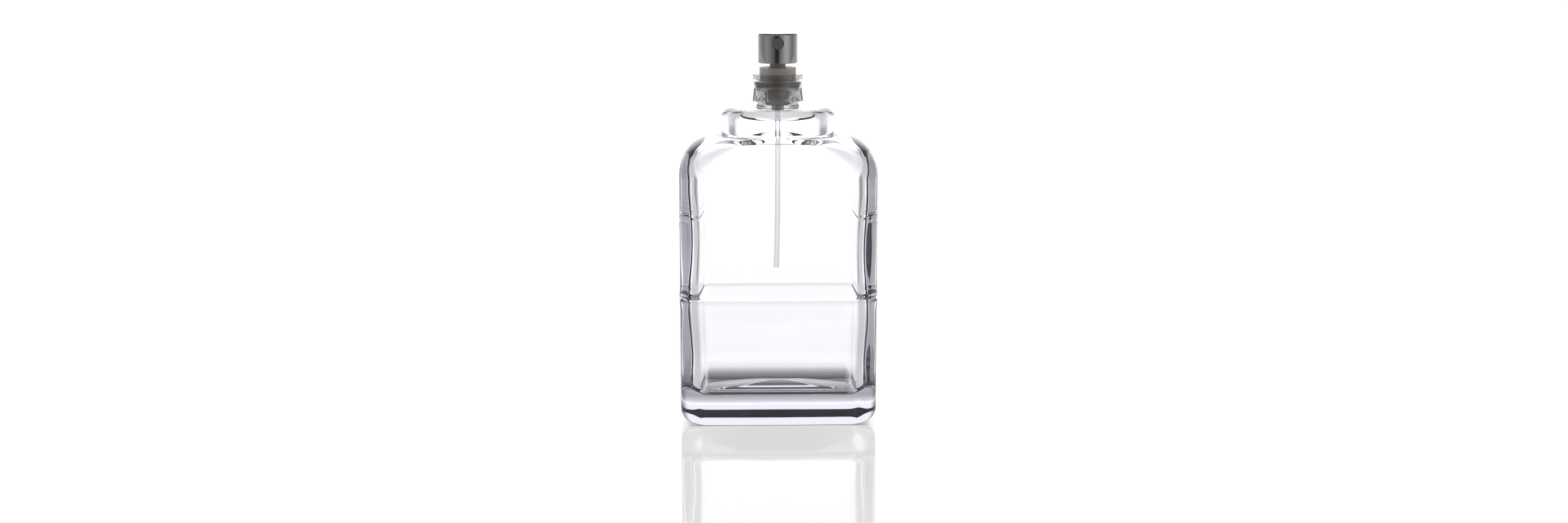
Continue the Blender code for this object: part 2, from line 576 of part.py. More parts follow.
def main():
    clear_scene()
    parts = collection("aftershave_bottle")
    tools = collection("cutters")
    glass = material("clear_glass", (0.95, 0.96, 0.97), 0.02, alpha=0.35)
    clear = material("clear_plastic", (0.9, 0.9, 0.9), 0.1, alpha=0.5)
    natural = material("natural_plastic", (0.55, 0.53, 0.51), 0.35)
    white = material("white_plastic", (0.85, 0.85, 0.84), 0.4)
    rubber = material("seal_rubber", (0.3, 0.3, 0.3), 0.8)
    steel = material("spring_steel", (0.6, 0.6, 0.62), 0.3, metallic=1.0)
    chrome = material("bright_metal", (0.55, 0.55, 0.57), 0.15, metallic=1.0)
    dark = material("nozzle_plastic", (0.12, 0.12, 0.12), 0.5)
    glass_bottle(glass, parts)
    neck_gasket(rubber, parts)
    pump_housing(natural, parts)
    inlet_ball(steel, parts)
    dip_tube(clear, parts)
    piston(white, parts)
    pump_stem(white, parts, tools)
    inner_gasket(rubber, parts)
    pump_turret(natural, parts)
    return_spring(steel, parts)
    snap_collar(clear, parts, tools)
    actuator_core(white, parts, tools)
    actuator_shell(chrome, parts, tools)
    nozzle_insert(dark, parts)


main()
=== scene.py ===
"""Looks of the aftershave bottle: thick clear glass, a clear collar and a bright spray pump.

Every piece is made in the CAD model's frame. Dimensions below are in millimetres and are scaled
by MM when a mesh is made. Heights and radii of the pump's pieces come from the CAD nodes' boxes.
"""

import math

import bmesh
import bpy
from mathutils import Matrix, Vector


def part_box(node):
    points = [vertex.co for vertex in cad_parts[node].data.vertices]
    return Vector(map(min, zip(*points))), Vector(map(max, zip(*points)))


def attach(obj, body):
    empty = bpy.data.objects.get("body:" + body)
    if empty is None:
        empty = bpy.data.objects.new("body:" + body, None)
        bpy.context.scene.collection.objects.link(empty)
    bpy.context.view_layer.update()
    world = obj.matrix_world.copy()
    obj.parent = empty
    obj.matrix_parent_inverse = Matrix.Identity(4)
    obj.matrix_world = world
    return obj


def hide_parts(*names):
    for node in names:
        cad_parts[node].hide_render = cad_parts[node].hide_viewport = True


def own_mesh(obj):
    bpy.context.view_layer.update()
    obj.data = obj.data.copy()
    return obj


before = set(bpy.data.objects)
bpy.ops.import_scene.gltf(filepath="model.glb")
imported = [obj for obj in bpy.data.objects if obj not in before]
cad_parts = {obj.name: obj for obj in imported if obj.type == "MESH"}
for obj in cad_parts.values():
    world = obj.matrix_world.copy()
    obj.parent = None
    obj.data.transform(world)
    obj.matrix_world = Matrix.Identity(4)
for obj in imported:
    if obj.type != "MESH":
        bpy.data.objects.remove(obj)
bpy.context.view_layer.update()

MM = 0.001

# camera: a 36 mm sensor, angles in degrees, distances in metres
CAMERA_DISTANCE, CAMERA_HEIGHT = 0.64, 0.162
CAMERA_DOWN, CAMERA_ORBIT, CAMERA_PAN = 9.735, 1.2, 0.185
LENS = 44.8

# glass body, outside
BODY_W, BODY_D = 65.8, 36.6
CORNER_R, SIDE_CROWN_R, FACE_CROWN_R = 6.5, 110.0, 1100.0
HEEL_INSET_X, HEEL_INSET_Y, HEEL_H = 5.4, 3.6, 5.4
PUSH_UP, BEARING_RING = 0.8, 4.0
SHOULDER_X, SHOULDER_Z, SHOULDER_RISE = 21.0, 82.0, 12.9
LOWER_GROOVE_Z, UPPER_GROOVE_Z = 42.3, 68.0
GROOVE_DEPTH, GROOVE_HALF_H = 0.6, 0.5  # on the short ends
FACE_GROOVE_DEPTH, FACE_GROOVE_HALF_H = 0.18, 0.7
UPPER_GROOVE_SHARE = 0.35  # the upper groove is this much of the lower one
GROOVE_FADE = 15, 65  # degrees of the wall's normal from X between which the ends' groove fades
TIER_FLARE, TIER_FLARE_H = 0.3, 2.2
PLINTH_Z, PLINTH_TOP_Z, PLINTH_R, PLINTH_EDGE_R = 95.5, 103.8, 19.0, 3.5
NECK_R, NECK_WAIST_R = 6.85, 6.3
BEAD_R, BEAD_Z, MOUTH_Z = 7.5, 107.3, 110.2
BORE_R = 4.85

# glass cavity
CAVITY_W, CAVITY_D, CAVITY_CORNER_R = 56.2, 27.6, 5.0
CAVITY_EDGE_Z, CAVITY_DOME_Z, CAVITY_FOOT_R = 9.6, 12.4, 4.0
CAVITY_SHOULDER_X, CAVITY_SHOULDER_Z, CAVITY_SHOULDER_RISE = 20.0, 85.5, 7.3
PLINTH_CAVITY_R, PLINTH_CEILING_Z, PLINTH_CEILING_R = 14.2, 102.0, 0.9
PLINTH_FOOT_H = 2.5  # height over which the plinth's cavity opens into the body's
SWELL, SWELL_LENGTH, RIPPLE, RIPPLE_LENGTH = 0.25, 44.0, 0.05, 5.0  # waves of its wall

# studio: sizes and places in metres
TABLE_R, TABLE_BACK, TABLE_GLOW = 0.62, 0.49, 0.68
PAINTED_SHADOW_SHARE = 0.08  # painted contact shadow: share of the glow that is left under and just behind the base
PAINTED_SHADOW_X = (0.0235, 0.032)  # the painted shadow fades out between these distances from the middle
PAINTED_SHADOW_Y = ((-0.0135, -0.0160), (0.026, 0.085))  # and between these, in front and behind
PAINTED_SHADOW_SPREAD = 0.06  # how much the painted shadow widens with the distance behind the bottle
WORLD_STRENGTH, BACKDROP, TOP_LEVEL = 2.0, 1.05, 0.07
LOW_BAND, TOP_BAND = (0.05, 0.16), (0.6, 0.85)  # heights of a direction where the levels change
LIGHT_BOUNCES = 32
# panels and dark flags round the bottle, as (degrees from the front, level), with +X at 90 and the
# backdrop at 180: the low ones make the soft bands in the metal, the high ones light the shoulders
LOW_LEVELS = ((-180, 1.0), (-158, 1.0), (-145, 0.5), (-120, 0.35), (-96, 0.21), (-68, 0.29),
              (-49, 0.235), (-34, 0.155), (-20, 0.1), (-14, 0.03), (5, 0.03), (11, 0.16),
              (22, 0.215), (32, 0.32), (43, 0.43), (51, 0.45), (67, 0.39), (75, 0.3),
              (89, 0.195), (105, 0.25), (123, 0.42), (145, 0.5), (158, 1.0), (180, 1.0))
HIGH_LEVELS = ((-180, 1.0), (-158, 1.0), (-140, 0.2), (-65, 0.12), (-40, 0.3),
               (40, 0.3), (65, 0.12), (140, 0.2), (158, 1.0), (180, 1.0))

# fineness
QUARTER_SIDE, QUARTER_CORNER, QUARTER_FACE = 6, 12, 8
TURN_STEPS = 144
SHARP_ANGLE = 32  # degrees; blunter edges are shaded smooth
BLUNT_CORNER = 12  # degrees; a profile's blunter corners aren't rounded


def box_mm(node):
    """Radius in X, lowest and highest Z of a CAD node, in millimetres."""
    low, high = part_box(node)
    return high.x / MM, low.z / MM, high.z / MM


# ---- mesh helpers ----------------------------------------------------------------------------

def finish_mesh(name, shape, sharp=SHARP_ANGLE):
    bmesh.ops.recalc_face_normals(shape, faces=shape.faces)
    mesh = bpy.data.meshes.new(name)
    shape.to_mesh(mesh)
    shape.free()
    mesh.shade_smooth()
    mesh.set_sharp_from_angle(angle=math.radians(sharp))
    return mesh


def add_piece(name, mesh, material, body, slot, *nodes):
    """Puts a mesh in the scene as a piece that rides on a body and stands for CAD nodes."""
    item = bpy.data.objects.new(name, mesh)
    bpy.context.scene.collection.objects.link(item)
    mesh.materials.clear()
    mesh.materials.append(material)
    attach(item, body)
    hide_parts(*nodes)
    return item


def rounded(profile, radius, closed=True, steps=4):
    """The profile with its corners rounded; points on the axis stay as they are."""
    made = []
    count = len(profile)
    for i, point in enumerate(profile):
        here = Vector(point)
        if point[0] < 1e-6 or (not closed and i in (0, count - 1)):
            made.append(point)
            continue
        before = Vector(profile[i - 1]) - here
        after = Vector(profile[(i + 1) % count]) - here
        bend = math.pi - before.angle(after)
        if bend < math.radians(BLUNT_CORNER):
            made.append(point)
            continue
        reach = min(radius * math.tan(bend / 2), 0.45 * before.length, 0.45 * after.length)
        start, end = here + before.normalized() * reach, here + after.normalized() * reach
        for j in range(steps + 1):
            share = j / steps
            mixed = start * (1 - share) ** 2 + here * 2 * share * (1 - share) + end * share ** 2
            made.append((mixed.x, mixed.y))
    return made


def turned_shape(profile, closed=True, steps=TURN_STEPS):
    """A profile of (radius, height) points, in millimetres, turned round Z."""
    shape = bmesh.new()
    rings = []
    for radius, z in profile:
        if radius < 1e-6:
            rings.append([shape.verts.new((0, 0, z * MM))] * steps)
            continue
        rings.append([shape.verts.new((radius * MM * math.cos(2 * math.pi * i / steps),
                                       radius * MM * math.sin(2 * math.pi * i / steps), z * MM))
                      for i in range(steps)])
    pairs = list(zip(rings, rings[1:]))
    if closed:
        pairs.append((rings[-1], rings[0]))
    for low, high in pairs:
        for i in range(steps):
            j = (i + 1) % steps
            corners = list(dict.fromkeys((low[i], low[j], high[j], high[i])))
            if len(corners) > 2:
                shape.faces.new(corners)
    return shape


def turned(name, profile, closed=True, steps=TURN_STEPS):
    return finish_mesh(name, turned_shape(profile, closed, steps))


def rod_shape(radius, start, end, steps=48):
    """A closed cylinder between two points, in millimetres."""
    a, b = Vector(start) * MM, Vector(end) * MM
    turn = Vector((0, 0, 1)).rotation_difference((b - a).normalized()).to_matrix().to_4x4()
    shape = bmesh.new()
    bmesh.ops.create_cone(shape, cap_ends=True, segments=steps, radius1=radius * MM,
                          radius2=radius * MM, depth=(b - a).length,
                          matrix=Matrix.Translation((a + b) / 2) @ turn)
    return shape


def ring_of(count, phase, make):
    """One mesh of count copies round Z of the shape that make() returns near +X."""
    whole = bmesh.new()
    for i in range(count):
        shape = make()
        shape.transform(Matrix.Rotation(2 * math.pi * (i + phase) / count, 4, "Z"))
        part = bpy.data.meshes.new("ring_part")
        shape.to_mesh(part)
        shape.free()
        whole.from_mesh(part)
        bpy.data.meshes.remove(part)
    return whole


def carved(name, mesh, *tools):
    """The mesh after exact booleans with each (operation, bmesh) in turn."""
    item = bpy.data.objects.new(name, mesh)
    bpy.context.scene.collection.objects.link(item)
    helpers = []
    for operation, shape in tools:
        helper = bpy.data.objects.new(name + "_tool", finish_mesh(name + "_tool", shape))
        bpy.context.scene.collection.objects.link(helper)
        helpers.append(helper)
        cut = item.modifiers.new("cut", "BOOLEAN")
        cut.operation, cut.solver, cut.object = operation, "EXACT", helper
    bpy.context.view_layer.update()
    seen = item.evaluated_get(bpy.context.evaluated_depsgraph_get())
    made = bpy.data.meshes.new_from_object(seen)
    for extra in [item] + helpers:
        bpy.data.objects.remove(extra, do_unlink=True)
    made.name = name
    made.shade_smooth()
    made.set_sharp_from_angle(angle=math.radians(SHARP_ANGLE))
    return made


def tube_mesh(name, path, radius, wall=0.0, sides=24):
    """A round wire, or a tube open at both ends when it has a wall, along points in millimetres."""
    shape = bmesh.new()
    points = [Vector(p) * MM for p in path]
    radii = [radius] if wall == 0 else [radius, radius - wall]
    skins = []
    up = Vector((1, 0, 0))
    frames = []
    for i, point in enumerate(points):
        ahead = points[min(i + 1, len(points) - 1)] - points[max(i - 1, 0)]
        ahead.normalize()
        side = (up - ahead * up.dot(ahead)).normalized()
        up = side
        frames.append((point, side, ahead.cross(side)))
    for size in radii:
        skins.append([[shape.verts.new(p + (s * math.cos(2 * math.pi * k / sides)
                                            + t * math.sin(2 * math.pi * k / sides)) * size * MM)
                       for k in range(sides)] for p, s, t in frames])
    for skin in skins:
        for low, high in zip(skin, skin[1:]):
            for k in range(sides):
                m = (k + 1) % sides
                shape.faces.new((low[k], low[m], high[m], high[k]))
    for end in (0, -1):
        if wall == 0:
            shape.faces.new(skins[0][end])
        else:
            for k in range(sides):
                m = (k + 1) % sides
                shape.faces.new((skins[0][end][k], skins[0][end][m],
                                 skins[1][end][m], skins[1][end][k]))
    return finish_mesh(name, shape)


def arc(centre_r, centre_z, radius, start, end, steps):
    """Points of a round corner in a profile, angles in degrees from +radius towards +Z."""
    angles = [math.radians(start + (end - start) * i / steps) for i in range(steps + 1)]
    return [(centre_r + radius * math.cos(a), centre_z + radius * math.sin(a)) for a in angles]


# ---- materials -------------------------------------------------------------------------------

class Finish:
    """A Principled material with short calls for the nodes that vary it."""

    def __init__(self, name, **sockets):
        self.material = bpy.data.materials.new(name)
        self.material.use_nodes = True
        self.tree = self.material.node_tree
        self.shader = self.tree.nodes["Principled BSDF"]
        self.place = self.tree.nodes.new("ShaderNodeTexCoord").outputs["Object"]
        for socket, value in sockets.items():
            self.shader.inputs[socket.replace("_", " ")].default_value = value

    def noise(self, scale, detail=3.0, stretch=(1, 1, 1)):
        """Noise over the object's own metres; scale is in features per metre."""
        mapping = self.tree.nodes.new("ShaderNodeMapping")
        mapping.inputs["Scale"].default_value = stretch
        self.tree.links.new(self.place, mapping.inputs["Vector"])
        made = self.tree.nodes.new("ShaderNodeTexNoise")
        made.inputs["Scale"].default_value = scale
        made.inputs["Detail"].default_value = detail
        self.tree.links.new(mapping.outputs["Vector"], made.inputs["Vector"])
        return made.outputs["Fac"]

    def spread(self, value, low, high, start=0.3, end=0.7):
        """The value's range start to end, as low to high."""
        made = self.tree.nodes.new("ShaderNodeMapRange")
        for socket, number in (("From Min", start), ("From Max", end),
                               ("To Min", low), ("To Max", high)):
            made.inputs[socket].default_value = number
        self.tree.links.new(value, made.inputs["Value"])
        return made.outputs["Result"]

    def colors(self, value, dark, light):
        """Two colours mixed by the value."""
        made = self.tree.nodes.new("ShaderNodeMix")
        made.data_type = "RGBA"
        made.inputs["A"].default_value = (*dark, 1)
        made.inputs["B"].default_value = (*light, 1)
        self.tree.links.new(value, made.inputs["Factor"])
        self.tree.links.new(made.outputs["Result"], self.shader.inputs["Base Color"])

    def rough(self, value):
        self.tree.links.new(value, self.shader.inputs["Roughness"])

    def bump(self, *heights):
        """Stacked bumps of (height, depth in metres)."""
        normal = None
        for height, depth in heights:
            made = self.tree.nodes.new("ShaderNodeBump")
            made.inputs["Strength"].default_value = 1.0
            made.inputs["Distance"].default_value = depth
            self.tree.links.new(height, made.inputs["Height"])
            if normal is not None:
                self.tree.links.new(normal, made.inputs["Normal"])
            normal = made.outputs["Normal"]
        self.tree.links.new(normal, self.shader.inputs["Normal"])


def glass_finish():
    """Pressed clear glass: faint waves from the mould and a trace of grey in its thickness."""
    made = Finish("clear_glass", Transmission_Weight=1.0, IOR=1.5)
    depth = made.tree.nodes.new("ShaderNodeVolumeAbsorption")
    depth.inputs["Color"].default_value = (0.80, 0.80, 0.83, 1)
    depth.inputs["Density"].default_value = 105.0
    output = made.tree.nodes["Material Output"]
    made.tree.links.new(depth.outputs["Volume"], output.inputs["Volume"])
    waves = made.noise(55, 2.0, (1, 1, 0.6))
    made.colors(waves, (0.965, 0.965, 0.975), (0.99, 0.99, 0.993))
    made.rough(made.spread(made.noise(300), 0.0, 0.02))
    made.bump((waves, 0.00006), (made.noise(260, 2.0), 0.0000015))
    return made.material


def collar_finish():
    """Clear moulded plastic, warmer and softer than the glass, with faint flow lines."""
    made = Finish("clear_plastic", Transmission_Weight=1.0, IOR=1.49)
    flow = made.noise(350, 3.0, (1, 1, 0.25))
    made.colors(flow, (0.66, 0.645, 0.63), (0.80, 0.79, 0.78))
    made.rough(made.spread(made.noise(700), 0.05, 0.13))
    made.bump((flow, 0.00001))
    return made.material


def tube_finish():
    """Extruded translucent tube with draw lines along its length."""
    made = Finish("tube_plastic", Transmission_Weight=1.0, IOR=1.5)
    lines = made.noise(2600, 2.0, (1, 1, 0.02))
    made.colors(lines, (0.86, 0.86, 0.87), (0.95, 0.95, 0.955))
    made.rough(made.spread(lines, 0.06, 0.16))
    made.bump((lines, 0.000006))
    return made.material


def natural_finish():
    """Unpigmented polypropylene: cloudy, satin, and warm grey where it is thick."""
    made = Finish("natural_plastic", Transmission_Weight=0.65, IOR=1.49)
    cloud = made.noise(420, 4.0)
    made.colors(cloud, (0.80, 0.755, 0.725), (0.90, 0.865, 0.84))
    made.rough(made.spread(made.noise(1500), 0.32, 0.46))
    made.bump((made.noise(5200, 2.0), 0.000004), (cloud, 0.00001))
    return made.material


def white_finish():
    """White acetal of the stem, piston and actuator core."""
    made = Finish("white_plastic", IOR=1.48, Subsurface_Weight=0.15, Subsurface_Scale=0.001)
    cloud = made.noise(500, 3.0)
    made.colors(cloud, (0.74, 0.74, 0.73), (0.82, 0.82, 0.81))
    made.rough(made.spread(made.noise(2200), 0.33, 0.45))
    made.bump((made.noise(6000, 2.0), 0.000004))
    return made.material


def rubber_finish():
    """Grey sealing rubber with a matt grain."""
    made = Finish("seal_rubber", IOR=1.5)
    grain = made.noise(4000, 4.0)
    made.colors(grain, (0.55, 0.54, 0.53), (0.65, 0.64, 0.63))
    made.rough(made.spread(grain, 0.65, 0.85))
    made.bump((grain, 0.00002))
    return made.material


def steel_finish():
    """Drawn spring wire and the polished ball."""
    made = Finish("spring_steel", Metallic=1.0)
    lines = made.noise(3000, 3.0)
    made.colors(lines, (0.50, 0.50, 0.52), (0.64, 0.64, 0.66))
    made.rough(made.spread(lines, 0.2, 0.36))
    made.bump((lines, 0.000005))
    return made.material


def chrome_finish():
    """Dark bright-dipped metal with very fine turning lines round the shell."""
    made = Finish("bright_metal", Metallic=1.0)
    lines = made.noise(900, 3.0, (0.05, 0.05, 4.0))
    smears = made.noise(160, 3.0)
    made.colors(smears, (0.34, 0.335, 0.35), (0.38, 0.375, 0.39))
    made.rough(made.spread(smears, 0.07, 0.11))
    made.bump((lines, 0.0000012), (made.noise(5000, 2.0), 0.0000006))
    return made.material


def nozzle_finish():
    """Dark grey moulded disc with a fine matt grain."""
    made = Finish("nozzle_plastic", IOR=1.45)
    grain = made.noise(7000, 3.0)
    made.colors(grain, (0.115, 0.115, 0.118), (0.16, 0.16, 0.163))
    made.rough(made.spread(grain, 0.4, 0.55))
    made.bump((grain, 0.000008))
    return made.material


# ---- the glass -------------------------------------------------------------------------------

class Section:
    """A level cut of the glass: a crowned rectangle with round corners, up to a full circle."""

    def __init__(self, half_w, half_d, corner):
        self.half_w, self.half_d = half_w, half_d
        self.corner = min(corner, half_w, half_d)
        self.side_angle = self.face_angle = 0.0
        for _ in range(20):
            depth = (half_d - self.corner * math.cos(self.face_angle)
                     - FACE_CROWN_R * (1 - math.cos(self.face_angle)))
            self.side_angle = math.asin(max(0.0, depth / (SIDE_CROWN_R - self.corner)))
            width = (half_w - self.corner * math.cos(self.side_angle)
                     - SIDE_CROWN_R * (1 - math.cos(self.side_angle)))
            self.face_angle = math.asin(max(0.0, width / (FACE_CROWN_R - self.corner)))

    def point(self, angle):
        """The point of the first quarter whose outward normal stands at this angle from X."""
        if angle <= self.side_angle:
            return (self.half_w - SIDE_CROWN_R * (1 - math.cos(angle)),
                    SIDE_CROWN_R * math.sin(angle))
        if angle >= math.pi / 2 - self.face_angle:
            return (FACE_CROWN_R * math.cos(angle),
                    self.half_d - FACE_CROWN_R * (1 - math.sin(angle)))
        x, y = (self.half_w - SIDE_CROWN_R * (1 - math.cos(self.side_angle)),
                SIDE_CROWN_R * math.sin(self.side_angle))
        return (x + self.corner * (math.cos(angle) - math.cos(self.side_angle)),
                y + self.corner * (math.sin(angle) - math.sin(self.side_angle)))

    def angles(self):
        """Normal angles of the first quarter, denser in the corner, even on a full circle."""
        count = QUARTER_SIDE + QUARTER_CORNER + QUARTER_FACE
        top = math.pi / 2
        stops = [(0.0, QUARTER_SIDE), (self.side_angle, QUARTER_CORNER),
                 (top - self.face_angle, QUARTER_FACE), (top, 0)]
        listed = []
        for (start, steps), (end, _) in zip(stops, stops[1:]):
            listed += [start + (end - start) * i / steps for i in range(steps)]
        roundness = self.corner / self.half_d
        blend = max(0.0, (roundness - 0.5) * 2)
        return [a + (top * i / count - a) * blend for i, a in enumerate(listed)]

    def loop(self, z, offset=lambda angle, sx, sy: 0.0):
        """The closed loop at height z, moved out along its normals by offset(angle, sx, sy)."""
        quarter = self.angles()
        full = ([(a, 1, 1) for a in quarter] + [(math.pi / 2, 1, 1)]
                + [(a, -1, 1) for a in reversed(quarter[1:])] + [(0.0, -1, 1)]
                + [(a, -1, -1) for a in quarter[1:]] + [(math.pi / 2, 1, -1)]
                + [(a, 1, -1) for a in reversed(quarter[1:])])
        points = []
        for angle, sx, sy in full:
            x, y = self.point(angle)
            out = offset(angle, sx, sy)
            points.append(((x + out * math.cos(angle)) * sx * MM,
                           (y + out * math.sin(angle)) * sy * MM, z * MM))
        return points


def circle(radius):
    return Section(radius, radius, radius)


def groove_out(distance, share):
    """How far the wall stands out near a groove: tiers flare towards it, then it cuts in.

    Share is 1 on the short ends; towards 0 the groove is a shallow, wide dent without a flare.
    """
    flare = share * TIER_FLARE * math.exp(-(distance / TIER_FLARE_H) ** 2)
    depth = FACE_GROOVE_DEPTH + (GROOVE_DEPTH - FACE_GROOVE_DEPTH) * share
    half_h = FACE_GROOVE_HALF_H + (GROOVE_HALF_H - FACE_GROOVE_HALF_H) * share
    return flare - depth * math.exp(-(distance / half_h) ** 2)


def ends_only(angle):
    """1 on the short ends, fading through the corners to 0 on the wide faces."""
    start, end = GROOVE_FADE
    share = min(1.0, max(0.0, (math.degrees(angle) - start) / (end - start)))
    return 1 - share * share * (3 - 2 * share)


def wall_out(z):
    """The outside's offset at height z, as a function for Section.loop."""
    def offset(angle, sx, sy):
        share = ends_only(angle)
        upper = groove_out(z - UPPER_GROOVE_Z, 1.0) * share * UPPER_GROOVE_SHARE
        return groove_out(z - LOWER_GROOVE_Z, share) + upper
    return offset


def outer_rings():
    """Loops up the outside of the glass, from the base's hollow to the mouth."""
    half_w, half_d = BODY_W / 2, BODY_D / 2
    inner_x, inner_y = (half_w - HEEL_INSET_X - BEARING_RING,
                        half_d - HEEL_INSET_Y - BEARING_RING)
    rings = []
    hollow_steps = 7
    for i in range(1, hollow_steps + 1):
        share = i / hollow_steps
        z = PUSH_UP * (1 - share ** 4)
        rings.append(Section(inner_x * share, inner_y * share, 1 + 3 * share).loop(z))
    for share in (0.25, 0.5, 0.75):
        rings.append(Section(inner_x + BEARING_RING * share, inner_y + BEARING_RING * share,
                             4 + share).loop(0.0))
    heel_steps = 14
    for i in range(heel_steps + 1):
        lift = 1 - math.cos(math.pi / 2 * i / heel_steps)
        inset = 1 - math.sin(math.pi / 2 * i / heel_steps)
        shape = Section(half_w - HEEL_INSET_X * inset, half_d - HEEL_INSET_Y * inset,
                        CORNER_R - 0.5 * HEEL_INSET_Y * inset)
        rings.append(shape.loop(HEEL_H * lift))
    body = Section(half_w, half_d, CORNER_R)
    near = (-6, -4.5, -3.4, -2.6, -2, -1.5, -1.1, -0.85, -0.65, -0.5, -0.35, -0.2, 0)
    near = near + tuple(-d for d in near[-2::-1])
    heights = [HEEL_H + step for step in (4, 9, 14, 19, 24, 28)]
    heights += [LOWER_GROOVE_Z + d for d in near] + [52.0, 55.5, 59.0]
    heights += [UPPER_GROOVE_Z + d for d in near] + [77.5]
    for z in heights:
        rings.append(body.loop(z, wall_out(z)))
    shoulder_steps = 28
    for i in range(shoulder_steps + 1):
        turn = math.pi / 2 * i / shoulder_steps
        x = SHOULDER_X + (half_w - SHOULDER_X) * math.cos(turn)
        corner = CORNER_R + (half_d - CORNER_R) * math.sin(turn)
        rings.append(Section(x, half_d, corner).loop(SHOULDER_Z + SHOULDER_RISE * math.sin(turn)))
    plinth = [(PLINTH_R - 0.45, PLINTH_Z), (PLINTH_R - 0.3, PLINTH_Z + 0.25),
              (PLINTH_R - 0.25, PLINTH_Z + 0.6), (PLINTH_R - 0.15, PLINTH_Z + 2.2)]
    plinth += arc(PLINTH_R - PLINTH_EDGE_R, PLINTH_TOP_Z - PLINTH_EDGE_R, PLINTH_EDGE_R, 0, 90, 14)
    top = PLINTH_TOP_Z
    neck = [(12.5, top), (10.0, top), (NECK_R + 1.4, top), (NECK_R + 0.7, top + 0.1),
            (NECK_R + 0.25, top + 0.45), (NECK_R + 0.05, top + 1.0), (NECK_R, top + 1.8),
            (NECK_R - 0.1, top + 2.6), (NECK_WAIST_R + 0.1, BEAD_Z - 1.0),
            (NECK_WAIST_R, BEAD_Z - 0.55), (NECK_WAIST_R + 0.1, BEAD_Z - 0.15)]
    bead = [(BEAD_R - 0.55, BEAD_Z), (BEAD_R - 0.15, BEAD_Z + 0.12), (BEAD_R, BEAD_Z + 0.5)]
    bead += arc(BEAD_R - 1.0, MOUTH_Z - 1.0, 1.0, 0, 90, 10)
    for radius, z in plinth + neck + bead:
        rings.append(circle(radius).loop(z))
    return rings


def cavity_wave(z):
    """Uneven inner wall, as blown glass has: it swells and narrows up the two short ends."""
    def offset(angle, sx, sy):
        phase = 0.5 if sx > 0 else 0.0
        swell = SWELL * math.cos(2 * math.pi * (z - 40.0) / SWELL_LENGTH + phase)
        ripple = RIPPLE * math.sin(z / RIPPLE_LENGTH + (1.3 if sx > 0 else 0.2) + 0.8 * sy)
        fade = min(1.0, max(0.0, (z - CAVITY_EDGE_Z) / 12)) * min(1.0, max(0.0, (86 - z) / 10))
        return (swell * math.cos(angle) ** 2 + ripple * math.cos(angle)) * fade
    return offset


def inner_rings():
    """Loops down the inside of the glass, from the mouth to the cavity's floor."""
    rings = []
    bore = [(BORE_R + 0.6, MOUTH_Z), (BORE_R + 0.25, MOUTH_Z - 0.1), (BORE_R, MOUTH_Z - 0.6),
            (BORE_R, 107.0), (BORE_R, PLINTH_TOP_Z), (BORE_R, PLINTH_CEILING_Z + 1.0)]
    bore += arc(BORE_R + 1.0, PLINTH_CEILING_Z + 1.0, 1.0, 180, 270, 6)[1:]
    bore += [(8.0, PLINTH_CEILING_Z), (PLINTH_CAVITY_R - PLINTH_CEILING_R, PLINTH_CEILING_Z)]
    bore += arc(PLINTH_CAVITY_R - PLINTH_CEILING_R, PLINTH_CEILING_Z - PLINTH_CEILING_R,
                PLINTH_CEILING_R, 90, 0, 8)[1:]
    for radius, z in bore:
        rings.append(circle(radius).loop(z))
    ceiling_z = CAVITY_SHOULDER_Z + CAVITY_SHOULDER_RISE
    foot_steps = 10
    for i in range(foot_steps):
        turn = math.pi / 2 * i / foot_steps
        x = PLINTH_CAVITY_R + (CAVITY_SHOULDER_X - PLINTH_CAVITY_R) * (1 - math.cos(turn))
        y = PLINTH_CAVITY_R + (CAVITY_D / 2 - PLINTH_CAVITY_R) * (1 - math.cos(turn))
        z = ceiling_z + PLINTH_FOOT_H * (1 - math.sin(turn))
        rings.append(Section(x, y, y).loop(z))
    half_w, half_d = CAVITY_W / 2, CAVITY_D / 2
    steps = 22
    for i in range(steps + 1):
        turn = math.pi / 2 * (1 - i / steps)
        x = CAVITY_SHOULDER_X + (half_w - CAVITY_SHOULDER_X) * math.cos(turn)
        corner = CAVITY_CORNER_R + (half_d - CAVITY_CORNER_R) * math.sin(turn) ** 3
        z = CAVITY_SHOULDER_Z + CAVITY_SHOULDER_RISE * math.sin(turn)
        rings.append(Section(x, half_d, corner).loop(z, cavity_wave(z)))
    foot_top = CAVITY_EDGE_Z + CAVITY_FOOT_R
    wall = Section(half_w, half_d, CAVITY_CORNER_R)
    levels = 34
    for i in range(1, levels + 1):
        z = CAVITY_SHOULDER_Z + (foot_top - CAVITY_SHOULDER_Z) * i / levels
        rings.append(wall.loop(z, cavity_wave(z)))
    foot_steps = 9
    for i in range(1, foot_steps + 1):
        turn = math.pi / 2 * i / foot_steps
        inset = CAVITY_FOOT_R * (1 - math.cos(turn))
        z = foot_top - CAVITY_FOOT_R * math.sin(turn)
        rings.append(Section(half_w - inset, half_d - inset, CAVITY_CORNER_R - 0.5 * inset)
                     .loop(z, cavity_wave(z)))
    rise = CAVITY_DOME_Z - CAVITY_EDGE_Z
    floor_w, floor_d = half_w - CAVITY_FOOT_R, half_d - CAVITY_FOOT_R
    floor_steps = 9
    for i in range(1, floor_steps):
        share = 1 - i / floor_steps
        z = CAVITY_EDGE_Z + rise * (1 - share ** 2) ** 1.5
        rings.append(Section(floor_w * share, floor_d * share, 3.0 * share).loop(z))
    return rings


def glass_mesh():
    """Loft through all the loops, closed at the base's middle and at the cavity floor's."""
    rings = outer_rings() + inner_rings()
    shape = bmesh.new()
    rows = [[shape.verts.new(p) for p in ring] for ring in rings]
    count = len(rows[0])
    for low, high in zip(rows, rows[1:]):
        for i in range(count):
            j = (i + 1) % count
            shape.faces.new((low[i], low[j], high[j], high[i]))
    for ring, z in ((rows[0], PUSH_UP), (rows[-1], CAVITY_DOME_Z)):
        middle = shape.verts.new((0, 0, z * MM))
        for i in range(count):
            shape.faces.new((ring[(i + 1) % count], ring[i], middle))
    return finish_mesh("bottle_glass", shape, 40)


